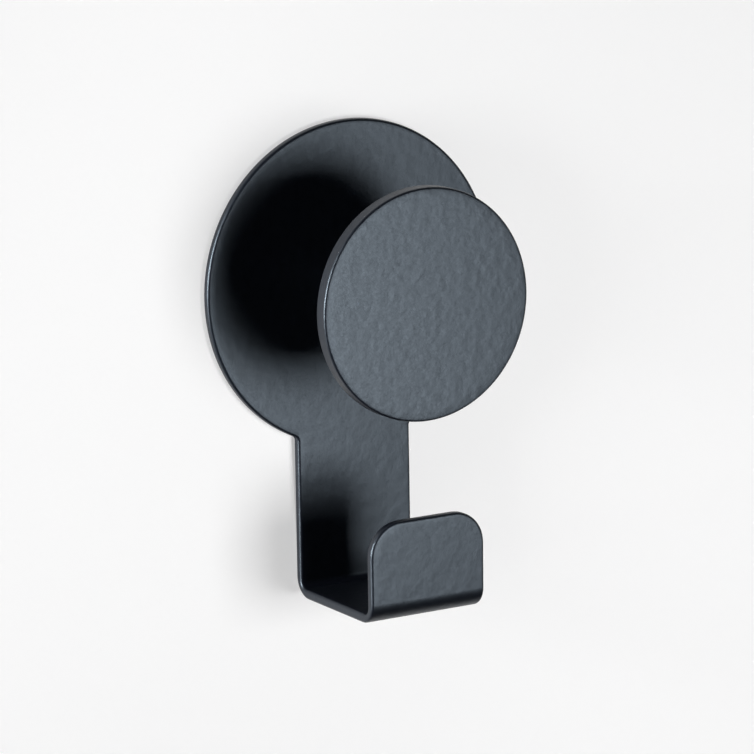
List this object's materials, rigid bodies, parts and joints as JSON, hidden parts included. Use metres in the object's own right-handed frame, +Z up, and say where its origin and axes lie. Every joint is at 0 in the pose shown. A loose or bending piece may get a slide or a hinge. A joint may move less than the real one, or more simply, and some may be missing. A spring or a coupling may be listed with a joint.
{
  "type": "wall hook",
  "caption": "Round wall hook in black coated sheet steel: a disc plate whose tongue folds into a J-shaped hook, with a flat round knob standing off the plate on a post.",
  "frame": {"origin": "middle of the round plate, on its back face, which lies on the wall", "axes": "+Y points into the wall, the hook and knob face -Y, +Z is up along the tongue, +X is to the right as seen from the front"},
  "size_m": [0.05, 0.0232, 0.0729],
  "materials": {
    "black_coat": "near-black blue-grey powder coat, semi-matt, with a faint orange peel",
    "screw_steel": "zinc-plated steel"
  },
  "bodies": {
    "root": {"hook_plate": "black_coat", "knob_disc": "black_coat", "knob_post": "black_coat", "post_screw": "screw_steel"}
  },
  "joints": []
}
